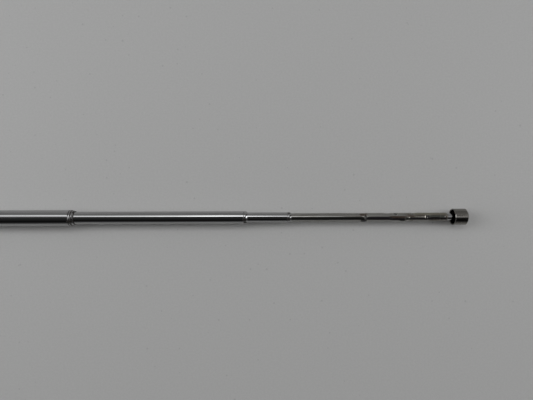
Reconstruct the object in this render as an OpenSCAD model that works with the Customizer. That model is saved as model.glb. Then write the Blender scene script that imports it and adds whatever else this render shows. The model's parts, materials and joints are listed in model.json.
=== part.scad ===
// Telescopic mast of a car antenna, lying on its side and partly drawn out.
// The mast's axis is the X axis: its base end is at X = 0 and its tip points along +X.
// Lengths are millimetres. A turned piece is drawn by its profile, a list of [x, radius] points.

/* [Outer tube] */
// Length of the outer tube
outer_len = 250; // [220:5:300]
// Outside diameter of the outer tube
outer_d = 8.0; // [7.9:0.05:8.4]
// Wall of the outer tube
outer_wall = 0.45; // [0.35:0.05:0.5]

/* [Second tube] */
// Outside diameter of the second tube
second_d = 6.2; // [5.9:0.05:6.3]
// Wall of the second tube
second_wall = 0.35; // [0.25:0.05:0.4]
// How far the second tube stands out of the outer tube
second_out = 84.6; // [10:0.2:130]

/* [Third tube] */
// Outside diameter of the third tube
third_d = 5.0; // [4.8:0.05:5.1]
// Wall of the third tube
third_wall = 0.25; // [0.2:0.05:0.3]
// How far the third tube stands out of the second
third_out = 21.5; // [10:0.5:130]

/* [Tip tube] */
// Outside diameter of the tip tube
tip_d = 4.1; // [3.9:0.05:4.15]
// Wall of the tip tube
tip_wall = 0.25; // [0.2:0.05:0.3]
// How far the tip tube stands out of the third
tip_out = 76.7; // [50:0.1:130]
// Length over which the tip tube's end closes on the stem
tip_round = 0.6; // [0.4:0.1:1]

/* [Mouth of the outer tube] */
// Length of the conical nose
nose_len = 1.8; // [1.6:0.1:2.4]
// Wall left at the nose's edge
nose_edge = 0.12; // [0.08:0.01:0.2]
// Distance from the mouth to the first rolled groove
groove_at = 1.4; // [1.2:0.1:1.8]
// Distance from one rolled groove to the next
groove_pitch = 1.0; // [0.8:0.1:1.4]
// Width of a rolled groove
groove_w = 0.7; // [0.4:0.05:0.8]
// Depth of a rolled groove
groove_depth = 0.15; // [0.05:0.01:0.18]
// Length of the guide bush behind the first groove
bush_len = 8; // [5:0.5:12]

/* [Mouths of the second and third tube] */
// Length of the rolled-in lip
lip_len = 1.0; // [0.6:0.1:1.6]
// Wall left at the lip's edge
lip_edge = 0.14; // [0.08:0.01:0.18]
// Distance from the mouth to the fine ring behind the lip
ring_at = 1.6; // [1.4:0.1:3]
// Width of that ring
ring_w = 0.4; // [0.2:0.05:0.6]
// Depth of that ring
ring_depth = 0.06; // [0.02:0.01:0.08]

/* [Stop collars and friction shells] */
// Length of a collar's shank inside its tube
shank_len = 5; // [4:0.5:8]
// Length of each of a collar's two flanges
flange_len = 1.2; // [0.8:0.1:2]
// Length of the waist that the shells lie in
waist_len = 8; // [6:0.5:12]
// Wall of a friction shell
shell_wall = 0.2; // [0.12:0.02:0.22]
// How far a shell's middle bows out beyond its ends
shell_bow = 0.15; // [0.05:0.01:0.2]
// Angle left open between the two half-shells, at each side
shell_gap = 16; // [8:1:30]
// Width of the slits that part a shell into leaves
slit_w = 0.4; // [0.3:0.05:0.6]
// Distance from a tube's foot to the crimp that holds the collar
crimp_at = 2.5; // [2:0.1:3.2]
// Width of a crimp
crimp_w = 1.0; // [0.6:0.1:1.4]
// Depth of a crimp
crimp_depth = 0.1; // [0.05:0.01:0.12]

/* [Stem and cap] */
// Diameter of the stem between the tip tube and the cap
stem_d = 3.4; // [3.1:0.05:3.5]
// Length of the stem from the tip tube to the cap's rim
stem_out = 3.0; // [2:0.1:6]
// Length of the stem inside the tip tube
stem_shank = 5.5; // [5:0.5:7]
// Distance from the tip tube's end to the crimp that holds the stem
stem_crimp_at = 3.4; // [2.4:0.1:4]
// Outside diameter of the cap
cap_d = 8.0; // [7.6:0.1:9]
// Length of the cap
cap_len = 6.5; // [6:0.1:9]
// Thickness of the cap's closed end
cap_floor = 1.5; // [1.3:0.1:2.2]
// Chamfer round the cap's closed end
cap_chamfer = 0.5; // [0.2:0.05:0.9]
// Fillet between the cap's wall and floor, inside
cap_fillet = 0.5; // [0.2:0.05:0.8]
// Diameter of the stem's spigot in the cap's floor
spigot_d = 2.4; // [1.6:0.1:2.8]
// Length of that spigot
spigot_len = 0.9; // [0.5:0.1:1.1]

/* [Base plug] */
// Length of the plug's head, which stands behind the outer tube and holds the thread
head_len = 12; // [11.5:0.5:18]
// Length of the plug's shank inside the outer tube
plug_len = 11; // [10:0.5:16]
// Tapping diameter of the fixing thread
thread_d = 3.3; // [2.5:0.1:4.2]
// Depth of the tapped hole
thread_depth = 9; // [6:0.5:10]
// Distance from the outer tube's foot to the crimp that holds the plug
plug_crimp_at = 6; // [3:0.5:8]

/* [Fits] */
// Radial play of a tube in the mouth that it slides through
slide_clear = 0.05; // [0.02:0.01:0.08]
// Radial play of a stop flange in its bore
collar_clear = 0.06; // [0.03:0.01:0.08]
// Radial play of a friction shell in its bore
shell_clear = 0.03; // [0.01:0.01:0.05]
// Radial play of a friction shell on its waist
turn_clear = 0.05; // [0.02:0.01:0.08]
// Play of a friction shell along its waist, at each end
shell_end_clear = 0.1; // [0.05:0.05:0.3]
// Radial play of the cap over the second tube, when the mast is pushed in
cap_clear = 0.3; // [0.2:0.05:0.35]
// How far each mouth stands out of the one before it, when the mast is pushed in
stack = 2.0; // [1.7:0.1:2]
// Play left behind each collar, when the mast is pushed in
end_gap = 1.0; // [0.5:0.1:2]

/* [Hidden] */

// Smoothness of the turned pieces
turn_fn = 96;
// Steps in a rolled groove, ring or crimp
ring_steps = 8;
// Steps in a nose or a lip
mouth_steps = 10;
// Steps along the bow of a shell and round the cap's inner fillet
arc_steps = 6;
// How far a cutting shape runs past what it cuts
past = 1;
// Small chamfer on the edges of turned pieces
edge = 0.12;

outer_r = outer_d / 2;
second_r = second_d / 2;
third_r = third_d / 2;
tip_r = tip_d / 2;
stem_r = stem_d / 2;
outer_bore = outer_r - outer_wall;
second_bore = second_r - second_wall;
third_bore = third_r - third_wall;
tip_bore = tip_r - tip_wall;

// Radius of the bore that each tube slides through at the mouth before it
outer_mouth_r = second_r + slide_clear;
second_mouth_r = third_r + slide_clear;
third_mouth_r = tip_r + slide_clear;

// Where the mouths are, with the mast drawn out as it lies
outer_foot = head_len;
outer_mouth = outer_foot + outer_len;
second_mouth = outer_mouth + second_out;
third_mouth = second_mouth + third_out;
tip_end = third_mouth + tip_out;
cap_rim = tip_end + stem_out;
cap_bottom = cap_rim + cap_len - cap_floor;
cap_end = cap_rim + cap_len;

// Each tube is as long as fits when the mast is pushed in, with the cap on the nose
tail_len = 2 * flange_len + waist_len;
plug_face = outer_foot + plug_len;
second_foot_in = plug_face + end_gap + tail_len;
second_len = outer_mouth + stack - second_foot_in;
third_foot_in = second_foot_in + shank_len + end_gap + tail_len;
third_len = outer_mouth + 2 * stack - third_foot_in;
tip_foot_in = third_foot_in + shank_len + end_gap + tail_len;
tip_len = outer_mouth - stem_out - tip_foot_in;
second_foot = second_mouth - second_len;
third_foot = third_mouth - third_len;
tip_foot = tip_end - tip_len;

// The second groove of the outer tube, and where its guide bush begins and ends
groove_two_at = groove_at + groove_pitch;
nose_reach = max(nose_len, groove_two_at + groove_w / 2);
bush_front = groove_at - groove_w / 2;
bush_back = bush_front + bush_len;

// Damage along the tip tube. Angles run from the top of the mast towards +Y.
// A bite is [distance behind the tube's end, angle, depth, radius of what bit it]
bites = [
    [40.1, 20, 0.34, 1.2],
    [29.3, 90, 0.20, 11],
    [24.9, 54, 0.30, 0.9],
    [19.2, 18, 0.24, 1.5],
    [16.7, 90, 0.15, 6],
    [10.7, 4, 0.28, 1.0],
];
// A swell, where a bite pushed the wall out, is [distance, angle, rise, length]
swells = [
    [40.9, -90, 0.33, 4.0],
    [21.8, -90, 0.25, 5.0],
];

// Evenly spaced values from a up to b, without b itself
function spread(a, b, n) = [for (i = [0 : n - 1]) a + (b - a) * i / n];

// The share of its depth that a rolled groove has, at a distance from its middle
function groove_share(off, width) =
    abs(off) < width / 2 ? (1 + cos(360 * off / width)) / 2 : 0;

// The same list with its last entry first
function reversed(list) = [for (i = [len(list) - 1 : -1 : 0]) list[i]];

// The skin of a straight tube across one rolled groove whose middle is at x
function groove_skin(x, r, width, depth) = [
    for (off = concat(spread(-width / 2, width / 2, ring_steps), [width / 2]))
        [x + off, r - depth * groove_share(off, width)]
];

// Radius of a mouth's skin at distance s behind its edge
function mouth_r(s, r, edge_r, len, curve) =
    r - (r - edge_r) * pow(max(0, 1 - s / len), curve);

// The skin of a rolled-in lip with its ring, from the straight tube to the edge
function lip_skin(mouth, r, edge_r) = concat(
    groove_skin(mouth - ring_at, r, ring_w, ring_depth),
    [for (s = concat(spread(lip_len, 0, mouth_steps), [0]))
        [mouth - s, mouth_r(s, r, edge_r, lip_len, 2)]]
);

// The skin of a tube's foot with the crimp in it
function foot_skin(foot, r, at) =
    concat([[foot, r]], groove_skin(foot + at, r, crimp_w, crimp_depth));

// Radius of the outer tube's skin at distance s behind its mouth
function nose_r(s) =
    mouth_r(s, outer_r, outer_mouth_r + nose_edge, nose_len, 1.2)
    - groove_depth * groove_share(s - groove_at, groove_w)
    - groove_depth * groove_share(s - groove_two_at, groove_w);

// Skin of the outer tube where the bush lies, and in front of the bush
bush_skin = [
    for (s = spread(nose_reach, bush_front, 3 * ring_steps))
        [outer_mouth - s, nose_r(s)]
];
nose_skin = [
    for (s = concat(spread(bush_front, 0, mouth_steps), [0]))
        [outer_mouth - s, nose_r(s)]
];

outer_skin = concat(foot_skin(outer_foot, outer_r, plug_crimp_at), bush_skin, nose_skin);
second_skin = concat(
    foot_skin(second_foot, second_r, crimp_at),
    lip_skin(second_mouth, second_r, second_mouth_r + lip_edge)
);
third_skin = concat(
    foot_skin(third_foot, third_r, crimp_at),
    lip_skin(third_mouth, third_r, third_mouth_r + lip_edge)
);
tip_skin = concat(
    foot_skin(tip_foot, tip_r, crimp_at),
    groove_skin(tip_end - stem_crimp_at, tip_r, crimp_w, crimp_depth),
    [for (s = concat(spread(tip_round, 0, ring_steps), [0]))
        [tip_end - s, mouth_r(s, tip_r, stem_r + tip_wall, tip_round, 2)]]
);

// The inside of a skin: a wall in from it, but no narrower than the mouth's bore
function inside(skin, wall, bore = 0) = [for (p = skin) [p[0], max(p[1] - wall, bore)]];

// The part of a profile between two places along the mast
function between(profile, from, to) =
    [for (p = profile) if (p[0] >= from && p[0] <= to) p];

// A solid of revolution about the mast's axis
module turned(profile, angle = 360) {
    rotate([0, 90, 0])
    rotate_extrude(angle = angle, $fn = turn_fn)
    polygon([for (p = profile) [p[1], p[0]]]);
}

// A thin tube between its skin and the inside of that skin
module tube(skin, wall, mouth_bore) {
    turned(concat(skin, reversed(inside(skin, wall, mouth_bore))));
}

// A turned collar on the foot of a tube: shank, stop flange, waist and end flange
module stop_collar(foot, skin, wall, bore) {
    flange_r = bore - collar_clear;
    waist_r = bore - shell_clear - shell_wall - shell_bow - turn_clear;
    tube_bore = skin[0][1] - wall;
    waist_front = foot - flange_len;
    waist_back = waist_front - waist_len;
    tail = foot - tail_len;
    front = foot + shank_len;
    turned(concat(
        [[tail, 0], [tail, flange_r - edge], [tail + edge, flange_r]],
        [[waist_back, flange_r], [waist_back, waist_r]],
        [[waist_front, waist_r], [waist_front, flange_r]],
        [[foot - edge, flange_r], [foot, flange_r - edge]],
        inside(between(skin, foot, front), wall),
        [[front - edge, tube_bore], [front, tube_bore - edge], [front, 0]]
    ));
}

// One of the two sprung half-shells in a collar's waist, slit into three leaves
module friction_shell(foot, bore, turn) {
    length = waist_len - 2 * shell_end_clear;
    middle = foot - flange_len - waist_len / 2;
    crown = bore - shell_clear;
    open_angle = 180 - shell_gap;
    bowed = [
        for (u = concat(spread(-1, 1, arc_steps), [1]))
            [middle + u * length / 2, crown - shell_bow * u * u]
    ];
    rotate([turn, 0, 0])
    difference() {
        rotate([-open_angle / 2, 0, 0])
        turned(concat(bowed, reversed(inside(bowed, shell_wall))), open_angle);
        for (side = [-1, 1])
            rotate([side * open_angle / 6, 0, 0])
            translate([middle - length / 3, -slit_w / 2, -crown - past])
            cube([length * 2 / 3, slit_w, crown + past]);
    }
}

// A bite's cutter, grown by an inset so that the wall keeps its thickness under it
module bite(at, angle, depth, tool, inset) {
    rotate([-angle, 0, 0])
    translate([tip_end - at, 0, tip_r - depth + tool])
    rotate([90, 0, 0])
    cylinder(r = tool + inset, h = 2 * tip_r + 2 * past, center = true, $fn = turn_fn);
}

// A barrel to one side of the axis, which stands proud of the tube by the rise
module swell(at, angle, rise, length, inset) {
    shift = rise * 2 / 3;
    crown = tip_r + rise - shift;
    sink = shift + rise / 3 + 0.02;
    rotate([-angle, 0, 0])
    translate([0, 0, shift])
    turned(concat(
        [[tip_end - at - length / 2, 0]],
        [for (u = concat(spread(-1, 1, 2 * arc_steps), [1]))
            [tip_end - at + u * length / 2, crown - sink * u * u - inset]],
        [[tip_end - at + length / 2, 0]]
    ));
}

// The tip tube's form with its damage, shrunk by an inset and run past both ends
module tip_form(inset, run = 0) {
    skin = inside(tip_skin, inset);
    first = skin[0][1];
    last = skin[len(skin) - 1][1];
    difference() {
        union() {
            turned(concat(
                [[tip_foot - run, 0], [tip_foot - run, first]],
                skin,
                [[tip_end + run, last], [tip_end + run, 0]]
            ));
            for (s = swells) swell(s[0], s[1], s[2], s[3], inset);
        }
        for (b = bites) bite(b[0], b[1], b[2], b[3], inset);
    }
}

module outer_tube() {
    color("silver")
    tube(outer_skin, outer_wall, outer_mouth_r);
}

module mouth_bush() {
    back = outer_mouth - bush_back;
    front = outer_mouth - bush_front;
    shaped = concat(bush_skin, [nose_skin[0]]);
    color("goldenrod")
    turned(concat(
        [[back, outer_mouth_r], [back, outer_bore - edge], [back + edge, outer_bore]],
        inside(shaped, outer_wall),
        [[front, outer_mouth_r]]
    ));
}

module base_plug() {
    drill_tip = thread_d / 2 * tan(31);
    color("darkgoldenrod")
    turned(concat(
        [[0, thread_d / 2], [0, outer_r - 2 * edge], [2 * edge, outer_r]],
        [[outer_foot, outer_r]],
        inside(between(outer_skin, outer_foot, plug_face), outer_wall),
        [[plug_face - 2 * edge, outer_bore], [plug_face, outer_bore - 2 * edge]],
        [[plug_face, 0], [thread_depth + drill_tip, 0], [thread_depth, thread_d / 2]]
    ));
}

module second_tube() {
    color("gainsboro")
    tube(second_skin, second_wall, second_mouth_r);
}

module second_collar() {
    color("goldenrod")
    stop_collar(second_foot, second_skin, second_wall, outer_bore);
}

module second_shell_a() {
    color("peru")
    friction_shell(second_foot, outer_bore, 0);
}

module second_shell_b() {
    color("peru")
    friction_shell(second_foot, outer_bore, 180);
}

module third_tube() {
    color("gainsboro")
    tube(third_skin, third_wall, third_mouth_r);
}

module third_collar() {
    color("goldenrod")
    stop_collar(third_foot, third_skin, third_wall, second_bore);
}

module third_shell_a() {
    color("peru")
    friction_shell(third_foot, second_bore, 0);
}

module third_shell_b() {
    color("peru")
    friction_shell(third_foot, second_bore, 180);
}

module tip_tube() {
    color("lightgray")
    difference() {
        tip_form(0);
        tip_form(tip_wall, past);
    }
}

module tip_collar() {
    color("goldenrod")
    stop_collar(tip_foot, tip_skin, tip_wall, third_bore);
}

module tip_shell_a() {
    color("peru")
    friction_shell(tip_foot, third_bore, 0);
}

module tip_shell_b() {
    color("peru")
    friction_shell(tip_foot, third_bore, 180);
}

module tip_stem() {
    back = tip_end - stem_shank;
    color("silver")
    turned(concat(
        [[back, 0], [back, tip_bore - edge], [back + edge, tip_bore]],
        inside(between(tip_skin, back, tip_end), tip_wall),
        [[cap_bottom, stem_r], [cap_bottom, spigot_d / 2]],
        [[cap_bottom + spigot_len, spigot_d / 2], [cap_bottom + spigot_len, 0]]
    ));
}

module tip_cap() {
    cavity_r = second_r + cap_clear;
    cap_r = cap_d / 2;
    color("dimgray")
    turned(concat(
        [[cap_bottom + spigot_len, 0], [cap_bottom + spigot_len, spigot_d / 2]],
        [[cap_bottom, spigot_d / 2]],
        [for (a = concat(spread(0, 90, arc_steps), [90]))
            [cap_bottom - cap_fillet * (1 - cos(a)), cavity_r - cap_fillet * (1 - sin(a))]],
        [[cap_rim + edge, cavity_r], [cap_rim, cavity_r + edge]],
        [[cap_rim, cap_r - edge], [cap_rim + edge, cap_r]],
        [[cap_end - cap_chamfer, cap_r], [cap_end, cap_r - cap_chamfer], [cap_end, 0]]
    ));
}

outer_tube();
mouth_bush();
base_plug();
second_tube();
second_collar();
second_shell_a();
second_shell_b();
third_tube();
third_collar();
third_shell_a();
third_shell_b();
tip_tube();
tip_collar();
tip_shell_a();
tip_shell_b();
tip_stem();
tip_cap();
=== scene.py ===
# %% [markdown]
# A telescopic mast lies on a pale table and is seen from straight above. Its tubes, collars and cap come from
# the imported model, which is exact and has the bites and swells of the battered end tube, so no solid is made
# again here. This lesson gives each metal its finish and its wear, and sets up the table, the light and the
# camera. First the imported model is loaded.

# %% Load the mast
import json
import math
import bpy
from mathutils import Matrix, Vector


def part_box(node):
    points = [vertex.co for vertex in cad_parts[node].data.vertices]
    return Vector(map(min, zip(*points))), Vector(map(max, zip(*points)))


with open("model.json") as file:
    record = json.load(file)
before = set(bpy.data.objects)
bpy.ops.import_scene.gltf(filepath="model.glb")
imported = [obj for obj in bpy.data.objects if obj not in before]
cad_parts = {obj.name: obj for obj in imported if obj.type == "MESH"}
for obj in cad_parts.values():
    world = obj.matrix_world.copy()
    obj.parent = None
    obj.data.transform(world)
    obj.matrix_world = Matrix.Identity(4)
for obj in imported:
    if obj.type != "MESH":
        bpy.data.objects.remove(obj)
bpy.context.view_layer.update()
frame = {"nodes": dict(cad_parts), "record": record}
nodes = frame["nodes"]

# %% [markdown]
# The mast lies along X, with its base at zero and its tip towards +X. Everything that follows is placed by
# the mouths and ends of its tubes, so those are read from the model. MM turns millimetres into metres.

# %% Places along the mast
MM = 0.001
outer_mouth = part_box("outer_tube")[1].x
second_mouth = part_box("second_tube")[1].x
third_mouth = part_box("third_tube")[1].x
tip_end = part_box("tip_tube")[1].x
table_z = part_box("outer_tube")[0].z
print("mouths at", outer_mouth, second_mouth, third_mouth, "tip tube's end", tip_end)

# %% [markdown]
# The photograph is taken from straight above the mast, closer than arm's length. Its scale at the mast and the
# way that the cap's open end comes into view give the height and the lens. The camera stands a little to the
# +Y side of the mast, so the mast runs below the middle of the picture. It is turned by a fifth of a degree.

# %% Camera
VIEW_AT = Vector((356.1 * MM, 8.58 * MM, 0))
VIEW_HEIGHT = 198.8 * MM
VIEW_LENS = 27.19
VIEW_TURN = math.radians(-0.19)
camera = bpy.data.objects.new("camera", bpy.data.cameras.new("camera"))
bpy.context.scene.collection.objects.link(camera)
camera.data.lens = VIEW_LENS
camera.data.clip_start = 0.01
camera.location = VIEW_AT + Vector((0, 0, VIEW_HEIGHT))
camera.rotation_euler = (0, 0, VIEW_TURN)
bpy.context.scene.camera = camera
print("camera", tuple(camera.location), "sees", round(math.degrees(camera.data.angle)), "degrees")

# %% [markdown]
# Shader graphs are long to write out, so a few small helpers come first. `put` adds one node and sets or
# connects its inputs. The others are the four things that these finishes do most: arithmetic, a smooth step
# from one value to another, a mix of two colours, and the object's own coordinates.

# %% Helpers for shader nodes
def put(tree, kind, feeds=None, **settings):
    """Adds a node. feeds gives its inputs: numbers and colours are set, outputs of other nodes are linked."""
    node = tree.nodes.new("ShaderNode" + kind)
    for name, value in settings.items():
        setattr(node, name, value)
    for socket, value in (feeds or {}).items():
        if isinstance(value, bpy.types.NodeSocket):
            tree.links.new(value, node.inputs[socket])
        else:
            node.inputs[socket].default_value = value
    return node


def sum_up(tree, operation, first, second=0.0, third=0.0):
    """One step of arithmetic on two or three values."""
    return put(tree, "Math", {0: first, 1: second, 2: third}, operation=operation).outputs[0]


def step_between(tree, value, low, high, at_low=0.0, at_high=1.0):
    """A smooth step: at_low where value is below low, at_high where it is above high."""
    feeds = {"Value": value, "From Min": low, "From Max": high, "To Min": at_low, "To Max": at_high}
    return put(tree, "MapRange", feeds, interpolation_type="SMOOTHSTEP").outputs["Result"]


def mix_colours(tree, share, under, over):
    """The colour under, covered by the colour over as far as share says."""
    return put(tree, "Mix", {0: share, 6: under, 7: over}, data_type="RGBA").outputs[2]


def own_place(tree):
    """The object's own coordinates, which are metres along, across and up from the mast's base."""
    return put(tree, "TexCoord").outputs["Object"]


print("helpers ready")

# %% [markdown]
# Several metals share the same small effects: fine lines from drawing or turning, a haze from handling, and
# specks of dust and pitting. Each effect is a node group with its own knobs, built once here and placed in
# each material with other numbers. A group puts out only masks and values, never a shader.

# %% A helper for node groups
def new_group(name, knobs, results):
    """An empty group with float knobs (name: start value) and float results.

    Gives the group's tree, its inputs and its output node.
    """
    tree = bpy.data.node_groups.new(name, "ShaderNodeTree")
    for knob, start in knobs.items():
        tree.interface.new_socket(knob, in_out="INPUT", socket_type="NodeSocketFloat").default_value = start
    for result in results:
        tree.interface.new_socket(result, in_out="OUTPUT", socket_type="NodeSocketFloat")
    return tree, tree.nodes.new("NodeGroupInput").outputs, tree.nodes.new("NodeGroupOutput")


def use_group(tree, group, **knobs):
    """Places a group in a material and gives its outputs. Knobs are written with _ for a space."""
    node = tree.nodes.new("ShaderNodeGroup")
    node.node_tree = group
    for knob, value in knobs.items():
        socket = node.inputs[knob.replace("_", " ")]
        if isinstance(value, bpy.types.NodeSocket):
            tree.links.new(value, socket)
        else:
            socket.default_value = value
    return node.outputs


print("group helpers ready")

# %% [markdown]
# Drawn tube carries fine lines along its length, from the die and from years of sliding. They are noise that
# is squeezed across the tube and stretched along it. Using the object's own 3-D coordinates, not an unrolled
# map, leaves no seam where the two sides meet.

# %% Lines along a tube
def make_drawn_lines():
    knobs = {"Length mm": 30.0, "Width mm": 0.2, "Few": 0.5}
    tree, knobs, results = new_group("Drawn lines", knobs, ["Lines"])
    place = put(tree, "SeparateXYZ", {0: own_place(tree)}).outputs
    along = sum_up(tree, "DIVIDE", place[0], sum_up(tree, "MULTIPLY", knobs["Length mm"], MM))
    width = sum_up(tree, "MULTIPLY", knobs["Width mm"], MM)
    across = sum_up(tree, "DIVIDE", place[1], width)
    up = sum_up(tree, "DIVIDE", place[2], width)
    stretched = put(tree, "CombineXYZ", {0: along, 1: across, 2: up}).outputs[0]
    noise = put(tree, "TexNoise", {"Vector": stretched, "Scale": 1.0, "Detail": 3.0}).outputs[0]
    lines = step_between(tree, noise, knobs["Few"], sum_up(tree, "ADD", knobs["Few"], 0.2))
    tree.links.new(lines, results.inputs["Lines"])
    return tree


drawn_lines = make_drawn_lines()
print(drawn_lines.name, [s.name for s in drawn_lines.interface.items_tree])

# %% [markdown]
# Turned pieces, such as the cap, the collars and the plug, carry the cutting tool's rings instead. A ring has
# one distance along the axis all the way round, so one-dimensional noise of that distance makes them. Adding
# the distance from the axis draws the same rings on a flat end.

# %% Rings of a lathe tool
def make_lathe_rings():
    tree, knobs, results = new_group("Lathe rings", {"Pitch mm": 0.1, "Few": 0.4}, ["Rings"])
    place = put(tree, "SeparateXYZ", {0: own_place(tree)}).outputs
    flat = put(tree, "CombineXYZ", {1: place[1], 2: place[2]}).outputs[0]
    out = put(tree, "VectorMath", {0: flat}, operation="LENGTH").outputs["Value"]
    travel = sum_up(tree, "ADD", place[0], out)
    turns = sum_up(tree, "DIVIDE", travel, sum_up(tree, "MULTIPLY", knobs["Pitch mm"], MM))
    noise = put(tree, "TexNoise", {"W": turns, "Scale": 1.0, "Detail": 2.0}, noise_dimensions="1D").outputs[0]
    rings = step_between(tree, noise, knobs["Few"], sum_up(tree, "ADD", knobs["Few"], 0.3))
    tree.links.new(rings, results.inputs["Rings"])
    return tree


lathe_rings = make_lathe_rings()
print(lathe_rings.name, [s.name for s in lathe_rings.interface.items_tree])

# %% [markdown]
# Fingers leave a thin uneven haze, so a mirror finish is never equally sharp all over. A soft noise gives
# large blotches, and a finer one breaks them up.

# %% Haze of handling
def make_haze():
    tree, knobs, results = new_group("Handling haze", {"Size mm": 8.0, "Share": 0.5}, ["Haze"])
    rate = sum_up(tree, "DIVIDE", 1.0, sum_up(tree, "MULTIPLY", knobs["Size mm"], MM))
    place = own_place(tree)
    blotches = {"Vector": place, "Scale": rate, "Detail": 2.0, "Distortion": 0.6}
    broad = put(tree, "TexNoise", blotches).outputs[0]
    fine_rate = sum_up(tree, "MULTIPLY", rate, 6.0)
    fine = put(tree, "TexNoise", {"Vector": place, "Scale": fine_rate, "Detail": 3.0}).outputs[0]
    both = sum_up(tree, "MULTIPLY_ADD", fine, 0.4, sum_up(tree, "MULTIPLY", broad, 0.6))
    haze = step_between(tree, both, 0.35, 0.65)
    tree.links.new(sum_up(tree, "MULTIPLY", haze, knobs["Share"]), results.inputs["Haze"])
    return tree


handling_haze = make_haze()
print(handling_haze.name, [s.name for s in handling_haze.interface.items_tree])

# %% [markdown]
# Old chrome is pitted, and the table has small darker specks. Both are small round specks at random places. A
# Voronoi texture measures the distance to the nearest of many random points, and its colour gives each point
# its own size.

# %% Specks and pits
def make_specks():
    tree, knobs, results = new_group("Specks", {"Apart mm": 1.0, "Size": 0.3, "Share": 0.5}, ["Specks"])
    rate = sum_up(tree, "DIVIDE", 1.0, sum_up(tree, "MULTIPLY", knobs["Apart mm"], MM))
    cells = put(tree, "TexVoronoi", {"Vector": own_place(tree), "Scale": rate}).outputs
    luck = put(tree, "SeparateColor", {0: cells["Color"]}).outputs
    radius = sum_up(tree, "MULTIPLY", luck[0], knobs["Size"])
    inside = step_between(tree, sum_up(tree, "SUBTRACT", radius, cells["Distance"]), 0.0, 0.06)
    kept = sum_up(tree, "LESS_THAN", luck[1], knobs["Share"])
    tree.links.new(sum_up(tree, "MULTIPLY", inside, kept), results.inputs["Specks"])
    return tree


specks = make_specks()
print(specks.name, [s.name for s in specks.interface.items_tree])


# %% [markdown]
# Each finish is one Principled material. `new_finish` makes it with the constants that hold all over it.

# %% A helper for finishes
def new_finish(name, **constants):
    """A material with one Principled shader. Gives the material, its tree and that shader."""
    material = bpy.data.materials.new(name)
    material.use_nodes = True
    tree = material.node_tree
    skin = tree.nodes["Principled BSDF"]
    for socket, value in constants.items():
        skin.inputs[socket.replace("_", " ")].default_value = value
    return material, tree, skin


def wire(tree, skin, colour=None, roughness=None, height=None, depth_mm=0.01):
    """Feeds the shader: its colour, its roughness, and a bump of the depth that height 1 stands for."""
    if colour is not None:
        tree.links.new(colour, skin.inputs["Base Color"])
    if roughness is not None:
        tree.links.new(roughness, skin.inputs["Roughness"])
    if height is not None:
        bump = put(tree, "Bump", {"Height": height, "Strength": 1.0, "Distance": depth_mm * MM})
        tree.links.new(bump.outputs["Normal"], skin.inputs["Normal"])


print("finish helpers ready")

# %% [markdown]
# A dark ring stands partly for dirt that gathers where a finger can't wipe it off, in the rolled grooves, and
# partly for painted shade in the grooves, behind a lip and along a tube's edge. Such a line runs all the way
# round at one distance along the mast, with a ragged edge.

# %% Rings of grime and painted shade
RING_EDGE_GRAIN = 1400.0


def make_dirt_and_shade_ring():
    tree, knobs, results = new_group("Grime ring", {"At mm": 0.0, "Width mm": 0.5, "Ragged": 0.5}, ["Grime"])
    along = put(tree, "SeparateXYZ", {0: own_place(tree)}).outputs[0]
    off = sum_up(tree, "SUBTRACT", sum_up(tree, "DIVIDE", along, MM), knobs["At mm"])
    off = sum_up(tree, "ABSOLUTE", off)
    noise = put(tree, "TexNoise", {"Vector": own_place(tree), "Scale": RING_EDGE_GRAIN, "Detail": 2.0}).outputs[0]
    rough_edge = sum_up(tree, "MULTIPLY", sum_up(tree, "SUBTRACT", noise, 0.5), knobs["Ragged"])
    share = sum_up(tree, "ADD", sum_up(tree, "DIVIDE", off, knobs["Width mm"]), rough_edge)
    tree.links.new(step_between(tree, share, 0.35, 0.6, 1.0, 0.0), results.inputs["Grime"])
    return tree


dirt_and_shade_ring = make_dirt_and_shade_ring()
print(dirt_and_shade_ring.name, [s.name for s in dirt_and_shade_ring.interface.items_tree])

# %% [markdown]
# Stains, worn patches and patches of painted shade lie on one side only. A patch has a place along the mast, an
# angle from the top towards +Y, and a size both ways. The fourth powers give it straight sides, and noise makes
# its edge ragged.

# %% A patch, for stains and for painted shade
PATCH_EDGE_GRAIN = 1500.0
PATCH_EDGE_RAGGED = 1.6


def make_stain_and_shade_patch():
    knobs = {"At mm": 0.0, "Reach mm": 2.0, "Angle": 0.0, "Spread": 20.0}
    tree, knobs, results = new_group("Stain and shade patch", knobs, ["Stain and shade patch"])
    place = put(tree, "SeparateXYZ", {0: own_place(tree)}).outputs
    angle = sum_up(tree, "DEGREES", sum_up(tree, "ARCTAN2", place[1], place[2]))
    off = sum_up(tree, "SUBTRACT", sum_up(tree, "DIVIDE", place[0], MM), knobs["At mm"])
    turned = sum_up(tree, "SUBTRACT", angle, knobs["Angle"])
    reached = sum_up(tree, "ABSOLUTE", sum_up(tree, "DIVIDE", off, knobs["Reach mm"]))
    spread = sum_up(tree, "ABSOLUTE", sum_up(tree, "DIVIDE", turned, knobs["Spread"]))
    square = sum_up(tree, "ADD", sum_up(tree, "POWER", reached, 4.0), sum_up(tree, "POWER", spread, 4.0))
    noise = put(tree, "TexNoise", {"Vector": own_place(tree), "Scale": PATCH_EDGE_GRAIN, "Detail": 3.0}).outputs[0]
    ragged = sum_up(tree, "MULTIPLY_ADD", sum_up(tree, "SUBTRACT", noise, 0.5), PATCH_EDGE_RAGGED, square)
    tree.links.new(step_between(tree, ragged, 0.45, 1.25, 1.0, 0.0), results.inputs["Stain and shade patch"])
    return tree


stain_and_shade_patch = make_stain_and_shade_patch()
print(stain_and_shade_patch.name, [s.name for s in stain_and_shade_patch.interface.items_tree])

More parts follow.
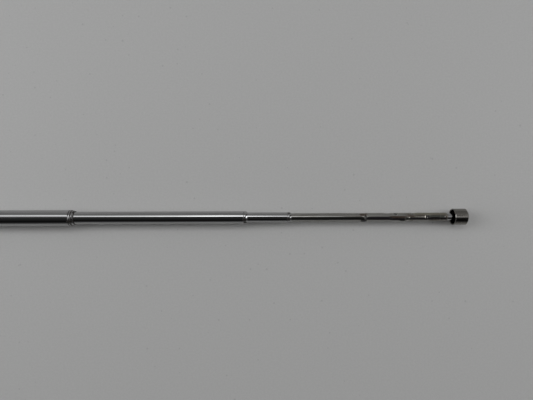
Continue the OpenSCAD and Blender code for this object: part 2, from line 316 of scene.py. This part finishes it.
# %% [markdown]
# The three thick tubes and the stem are bright chrome: a neutral grey metal, almost a mirror, with drawn
# lines, handling haze and a few pits. Dark rings and patches at the mouths are partly grime in the rolled
# grooves and partly painted shade in the grooves and the gaps of the mouths, with painted dark reflections on
# the lips. Each tube has its own copy, because its dark rings lie at its own mouth. The stem's rings are given
# from the tip tube's end, and a negative distance lies beyond it, towards the cap. They are painted shade where
# the stem leaves the tip tube and deep inside the cap.

# %% Bright chrome
CHROME = (0.44, 0.44, 0.44, 1)
CHROME_LINE = (0.33, 0.325, 0.32, 1)
CHROME_PIT = (0.10, 0.095, 0.09, 1)
# The dark colour of the rings and patches: grime, painted shade and painted dark reflection.
GRIME_AND_SHADE = (0.035, 0.03, 0.027, 1)


def make_chrome(name, mouth, rings, patches=()):
    """Bright chrome with dark rings (behind, width) and patches (behind, reach, angle, spread) of grime,
    painted shade and painted dark reflection.

    behind, width and reach are in millimetres, behind is the distance from that mouth towards the base, and
    angle and spread are in degrees from the top.
    """
    material, tree, skin = new_finish(name)
    lines = use_group(tree, drawn_lines, Length_mm=40.0, Width_mm=0.25, Few=0.6)["Lines"]
    haze = use_group(tree, handling_haze, Size_mm=9.0, Share=1.0)["Haze"]
    pits = use_group(tree, specks, Apart_mm=1.6, Size=0.12, Share=0.35)["Specks"]
    # The rings and patches darken the chrome: partly grime, partly painted shade in grooves and gaps and
    # painted dark reflection on the lips.
    grime_and_shade = 0.0
    for behind, width in rings:
        ring = use_group(tree, dirt_and_shade_ring, At_mm=mouth / MM - behind, Width_mm=width, Ragged=0.6)["Grime"]
        grime_and_shade = sum_up(tree, "MAXIMUM", ring, grime_and_shade)
    for behind, reach, angle, spread in patches:
        at = mouth / MM - behind
        patch = use_group(tree, stain_and_shade_patch, At_mm=at, Reach_mm=reach, Angle=angle, Spread=spread)["Stain and shade patch"]
        grime_and_shade = sum_up(tree, "MAXIMUM", patch, grime_and_shade)
    colour = mix_colours(tree, lines, CHROME, CHROME_LINE)
    colour = mix_colours(tree, pits, colour, CHROME_PIT)
    colour = mix_colours(tree, grime_and_shade, colour, GRIME_AND_SHADE)
    clean = step_between(tree, sum_up(tree, "ADD", haze, lines), 0.0, 2.0, 0.03, 0.13)
    roughness = sum_up(tree, "MULTIPLY_ADD", grime_and_shade, 0.35, clean)
    tree.links.new(sum_up(tree, "MULTIPLY_ADD", grime_and_shade, -0.6, 1.0), skin.inputs["Metallic"])
    wire(tree, skin, colour, roughness, sum_up(tree, "SUBTRACT", lines, pits), 0.002)
    return material


outer_chrome = make_chrome(
    "outer_chrome",
    outer_mouth,
    [(1.4, 0.55), (2.4, 0.55), (0.0, 0.7), (244.0, 0.8)],
    [(1.6, 1.4, -24, 8), (0.4, 0.5, 60, 18)],
)
second_chrome = make_chrome(
    "second_chrome",
    second_mouth,
    [(1.6, 0.25), (227.1, 0.8)],
    [(1.1, 1.2, -16, 11), (0.1, 0.5, 30, 14), (1.0, 0.8, -52, 11)],
)
third_chrome = make_chrome(
    "third_chrome",
    third_mouth,
    [(1.6, 0.25), (212.7, 0.8)],
    [(1.2, 0.9, -18, 12), (0.2, 0.4, 22, 12), (0.9, 0.7, 60, 14)],
)
stem_chrome = make_chrome("stem_chrome", tip_end, [(0.0, 0.5), (-8.0, 0.4)])
print([m.name for m in (outer_chrome, second_chrome, third_chrome, stem_chrome)])

# %% [markdown]
# The patches are of six kinds. Each kind is one colour, and covers wherever any of its patches lies. Some
# kinds stand for stains and wear, and some for painted shade and painted dark reflection, as listed below.
# Stained metal is no longer a mirror, so all the patches, painted shade too, take away the metallic shine and
# roughen the skin.

# %% Worn chrome, stained and with painted shade
WORN = (0.40, 0.395, 0.375, 1)
WORN_LINE = (0.22, 0.2, 0.17, 1)
PATINA = (0.19, 0.17, 0.135, 1)
# Some kinds are painted: purple_black is mostly a painted dark reflection that widens the dark reflected band
# along the tube, and black is mostly painted shade in the bites, under the swells and in the crimp.
# green_black, the brown patch at 19.2 and the purple_black patch at 9.7 are painted shade laid over glints.
# olive, rust and the other brown patches are stains and wear.
# Distance behind the tube's end and half length in millimetres, angle and half width in degrees
STAINS_AND_PAINTED_SHADE = {
    "olive": ((0.17, 0.16, 0.125, 1), [(8, 9, 58, 34)]),
    "brown": ((0.07, 0.055, 0.043, 1), [
        (41.3, 2.0, 38, 22), (19.2, 1.1, 24, 24), (13, 2.4, 27, 8), (4.3, 4.0, 27, 8), (0.6, 0.5, 0, 16),
    ]),
    "rust": ((0.05, 0.033, 0.024, 1), [(24.6, 4.4, 0, 17), (17.5, 1.2, 12, 12)]),
    "green_black": ((0.05, 0.052, 0.042, 1), [(5.4, 4.0, 8, 18)]),
    "purple_black": ((0.017, 0.014, 0.016, 1), [
        (34, 6.8, -16, 26), (24.6, 4.4, -32, 18), (12.8, 6.6, -24, 16), (3, 2.6, -22, 13), (9.7, 0.7, 10, 14),
    ]),
    "black": ((0.010, 0.008, 0.007, 1), [
        (40.05, 0.45, 10, 22), (41, 1.5, -62, 20), (25.4, 0.7, 52, 18), (10.7, 0.7, -32, 12),
        (6.4, 2.6, -12, 14), (2.8, 1.5, -16, 10), (22, 1.3, -48, 14),
    ]),
}


def any_stain_and_shade(tree, places):
    """One mask over several patches of a kind, stains and painted shade alike."""
    mask = 0.0
    for behind, reach, angle, spread in places:
        at = tip_end / MM - behind
        one = use_group(tree, stain_and_shade_patch, At_mm=at, Reach_mm=reach, Angle=angle, Spread=spread)["Stain and shade patch"]
        mask = sum_up(tree, "MAXIMUM", one, mask)
    return mask


def make_worn_and_shaded_chrome():
    material, tree, skin = new_finish("worn_chrome")
    lines = use_group(tree, drawn_lines, Length_mm=12.0, Width_mm=0.3, Few=0.5)["Lines"]
    haze = use_group(tree, handling_haze, Size_mm=3.0, Share=1.0)["Haze"]
    along = put(tree, "SeparateXYZ", {0: own_place(tree)}).outputs[0]
    outer_half = step_between(tree, along, tip_end - 24 * MM, tip_end - 16 * MM)
    patina = sum_up(tree, "MULTIPLY", haze, outer_half)
    colour = mix_colours(tree, lines, WORN, WORN_LINE)
    colour = mix_colours(tree, patina, colour, PATINA)
    # Some of these patches are stains and wear, and some are painted shade and painted dark reflection.
    stained_and_shaded = 0.0
    for kind_colour, places in STAINS_AND_PAINTED_SHADE.values():
        mask = any_stain_and_shade(tree, places)
        colour = mix_colours(tree, mask, colour, kind_colour)
        stained_and_shaded = sum_up(tree, "MAXIMUM", mask, stained_and_shaded)
    clean = step_between(tree, sum_up(tree, "ADD", patina, lines), 0.0, 2.0, 0.06, 0.3)
    roughness = sum_up(tree, "MULTIPLY_ADD", stained_and_shaded, 0.3, clean)
    tree.links.new(sum_up(tree, "MULTIPLY_ADD", stained_and_shaded, -0.7, 1.0), skin.inputs["Metallic"])
    wire(tree, skin, colour, roughness, sum_up(tree, "SUBTRACT", lines, stained_and_shaded), 0.004)
    return material


worn_chrome = make_worn_and_shaded_chrome()
print(worn_chrome.name, len(worn_chrome.node_tree.nodes), "nodes")

# %% [markdown]
# The cap is satin: dark nickel over a turned surface, so its highlight is broad and streaked round the axis.

# %% Dark nickel
NICKEL = (0.25, 0.24, 0.22, 1)
NICKEL_RING = (0.15, 0.142, 0.128, 1)


def make_dark_nickel():
    material, tree, skin = new_finish("dark_nickel", Metallic=1.0)
    rings = use_group(tree, lathe_rings, Pitch_mm=0.16, Few=0.45)["Rings"]
    haze = use_group(tree, handling_haze, Size_mm=2.5, Share=1.0)["Haze"]
    colour = mix_colours(tree, rings, NICKEL, NICKEL_RING)
    roughness = step_between(tree, haze, 0.0, 1.0, 0.09, 0.15)
    wire(tree, skin, colour, roughness, rings, 0.006)
    return material


dark_nickel = make_dark_nickel()
print(dark_nickel.name, len(dark_nickel.node_tree.nodes), "nodes")

# %% [markdown]
# The bush, the plug and the collars are bare turned brass, a little tarnished.

# %% Turned brass
BRASS = (0.62, 0.48, 0.24, 1)
BRASS_RING = (0.45, 0.33, 0.15, 1)
TARNISH = (0.33, 0.22, 0.11, 1)


def make_brass():
    material, tree, skin = new_finish("turned_brass", Metallic=1.0)
    rings = use_group(tree, lathe_rings, Pitch_mm=0.14, Few=0.4)["Rings"]
    haze = use_group(tree, handling_haze, Size_mm=3.0, Share=0.8)["Haze"]
    colour = mix_colours(tree, rings, BRASS, BRASS_RING)
    colour = mix_colours(tree, haze, colour, TARNISH)
    roughness = step_between(tree, haze, 0.0, 1.0, 0.2, 0.4)
    wire(tree, skin, colour, roughness, rings, 0.005)
    return material


turned_brass = make_brass()
print(turned_brass.name, len(turned_brass.node_tree.nodes), "nodes")

# %% [markdown]
# The half-shells are rolled spring bronze: redder than the brass, with the sheet's grain along the mast.

# %% Spring bronze
BRONZE = (0.55, 0.36, 0.2, 1)
BRONZE_GRAIN = (0.38, 0.22, 0.11, 1)


def make_bronze():
    material, tree, skin = new_finish("spring_bronze", Metallic=1.0)
    grain = use_group(tree, drawn_lines, Length_mm=6.0, Width_mm=0.12, Few=0.45)["Lines"]
    haze = use_group(tree, handling_haze, Size_mm=2.0, Share=0.7)["Haze"]
    colour = mix_colours(tree, grain, BRONZE, BRONZE_GRAIN)
    colour = mix_colours(tree, haze, colour, TARNISH)
    roughness = step_between(tree, haze, 0.0, 1.0, 0.25, 0.45)
    wire(tree, skin, colour, roughness, grain, 0.003)
    return material


spring_bronze = make_bronze()
print(spring_bronze.name, len(spring_bronze.node_tree.nodes), "nodes")

# %% [markdown]
# The record names a slot for each solid, and each slot has one finish. The chrome tubes have one each.

# %% Give every solid its finish
finishes = {
    "chrome": stem_chrome,
    "worn_chrome": worn_chrome,
    "dark_nickel": dark_nickel,
    "brass": turned_brass,
    "spring_bronze": spring_bronze,
}
own_finishes = {"outer_tube": outer_chrome, "second_tube": second_chrome, "third_tube": third_chrome}
for part in frame["record"]["subparts"]:
    finish = own_finishes.get(part["node"], finishes[part["material_slot"]])
    nodes[part["node"]].material_slots[0].material = finish

# %% [markdown]
# The table is pale, matt and faintly speckled.

# %% Table
TABLE_SIZE = 3.0
TABLE_PALE = (0.60, 0.595, 0.585, 1)
TABLE_GRAIN = (0.565, 0.56, 0.55, 1)
TABLE_DARK_SPECK = (0.50, 0.495, 0.49, 1)


def make_table():
    mesh = bpy.data.meshes.new("table")
    half = TABLE_SIZE / 2
    corners = [(-half, -half, 0), (half, -half, 0), (half, half, 0), (-half, half, 0)]
    mesh.from_pydata(corners, [], [(0, 1, 2, 3)])
    table = bpy.data.objects.new("table", mesh)
    table.location = (VIEW_AT.x, 0, table_z)
    bpy.context.scene.collection.objects.link(table)
    material, tree, skin = new_finish("table_paint")
    grain = put(tree, "TexNoise", {"Vector": own_place(tree), "Scale": 1100.0, "Detail": 2.0}).outputs[0]
    share = step_between(tree, grain, 0.2, 0.8)
    dark_specks = use_group(tree, specks, Apart_mm=4.0, Size=0.16, Share=0.5)["Specks"]
    colour = mix_colours(tree, share, TABLE_GRAIN, TABLE_PALE)
    wire(tree, skin, mix_colours(tree, dark_specks, colour, TABLE_DARK_SPECK))
    skin.inputs["Roughness"].default_value = 0.6
    mesh.materials.append(material)
    return table


table = make_table()
print("table at", table_z)

# %% [markdown]
# Chrome shows what is around it, so the room matters as much as the lamps. Across the mast, the photograph
# has a grey wall on the +Y side, a bright lamp a third of the way up, and darkness from overhead down to the -Y
# side. The world is a colour ramp over the angle across the mast, and fades to an even grey towards the ends.
# Where a side view looks past the table's edge, Is Camera Ray gives a plain pale backdrop instead.

# %% Room
ROOM_GREY = 0.28
BACKDROP = (0.31, 0.31, 0.305, 1)
# Angle from overhead towards +Y, in degrees, and the brightness there
ROOM = [
    (-100, 0.16), (-86, 0.16), (-70, 0.05), (-62, 0.012), (-48, 0.006), (-30, 0.018),
    (-8, 0.036), (8, 0.05), (18, 0.2), (45, 0.3), (78, 0.24), (100, 0.24),
]


def fill_ramp(ramp, shades):
    """Gives a colour ramp these shades of grey, a list of places and brightnesses."""
    stops = ramp.elements
    while len(stops) > 1:
        stops.remove(stops[0])
    for number, (place, grey) in enumerate(shades):
        stop = stops[0] if number == 0 else stops.new(place)
        stop.position = place
        stop.color = (grey, grey, grey, 1)


def make_room():
    world = bpy.data.worlds.new("room")
    world.use_nodes = True
    tree = world.node_tree
    way = put(tree, "SeparateXYZ", {0: put(tree, "TexCoord").outputs["Generated"]}).outputs
    across = sum_up(tree, "ARCTAN2", way[1], way[2])
    share = sum_up(tree, "MULTIPLY_ADD", across, 1 / math.tau, 0.5)
    ramp = put(tree, "ValToRGB", {0: share})
    fill_ramp(ramp.color_ramp, [(angle / 360 + 0.5, grey) for angle, grey in ROOM])
    ends = step_between(tree, sum_up(tree, "ABSOLUTE", way[0]), 0.62, 0.85)
    colour = mix_colours(tree, ends, ramp.outputs["Color"], (ROOM_GREY, ROOM_GREY, ROOM_GREY, 1))
    seen = put(tree, "LightPath").outputs["Is Camera Ray"]
    background = tree.nodes["Background"]
    tree.links.new(mix_colours(tree, seen, colour, BACKDROP), background.inputs["Color"])
    bpy.context.scene.world = world
    return world


room = make_room()
print("room with", len(ROOM), "shades")

# %% [markdown]
# Three soft boxes and a dim ceiling panel light the table. The middle box is the bright line along the mast,
# and it is brightest at one place and fades towards its ends, as a lamp behind cloth does. The other two
# stand to the left and the right, where only the edges and the ends of the tubes show them.

# %% Soft boxes
LAMP_AWAY = 1.5
LAMP_COLOUR = (0.97, 0.985, 1.0)


def make_softbox(name, along, across, width, height, brightness, roll=0.0):
    """A soft box at two slopes from straight up. Its width and height are in metres, its roll in degrees."""
    lamp = bpy.data.lights.new(name, "AREA")
    lamp.shape = "RECTANGLE"
    lamp.size, lamp.size_y = width, height
    lamp.energy = brightness * math.pi * width * height
    box = bpy.data.objects.new(name, lamp)
    back = Vector((along, across, 1)).normalized()
    right = Vector((1, 0, 0))
    right = (right - back * right.dot(back)).normalized()
    up = back.cross(right)
    turn = Matrix((right, up, back)).transposed().to_4x4() @ Matrix.Rotation(math.radians(roll), 4, "Z")
    box.matrix_world = Matrix.Translation(Vector((VIEW_AT.x, 0, 0)) + back * LAMP_AWAY) @ turn
    bpy.context.scene.collection.objects.link(box)
    return box


# Places along the middle soft box, from its -X end to its +X end, and the share of its brightness there
KEY_GLOW = [
    (0.0, 0.3), (0.25, 0.4), (0.42, 0.62), (0.52, 1.0), (0.6, 0.8),
    (0.7, 0.4), (0.82, 0.18), (0.9, 0.05), (1.0, 0.0),
]


def shade_key(box):
    box.data.use_nodes = True
    tree = box.data.node_tree
    place = put(tree, "SeparateXYZ", {0: put(tree, "NewGeometry").outputs["Parametric"]}).outputs[0]
    ramp = put(tree, "ValToRGB", {0: place})
    fill_ramp(ramp.color_ramp, KEY_GLOW)
    tree.links.new(ramp.outputs["Color"], tree.nodes["Emission"].inputs["Strength"])


key = make_softbox("key_softbox", -0.2, 0.57, 1.9, 0.42, 3.0, roll=-11)
shade_key(key)
left = make_softbox("left_softbox", -2.1, 0.36, 1.3, 0.7, 3.2)
right = make_softbox("right_softbox", 2.0, 0.32, 1.3, 0.7, 2.6)
ceiling = make_softbox("ceiling_panel", 0.58, 0.03, 0.5, 0.5, 0.55)
for lamp in (key, left, right, ceiling):
    lamp.data.color = LAMP_COLOUR
print("soft boxes", [tuple(round(v, 2) for v in b.location) for b in (key, left, right)])

# %% [markdown]
# Last, plain colour management.

# %% Finish
bpy.context.scene.view_settings.view_transform = "Standard"
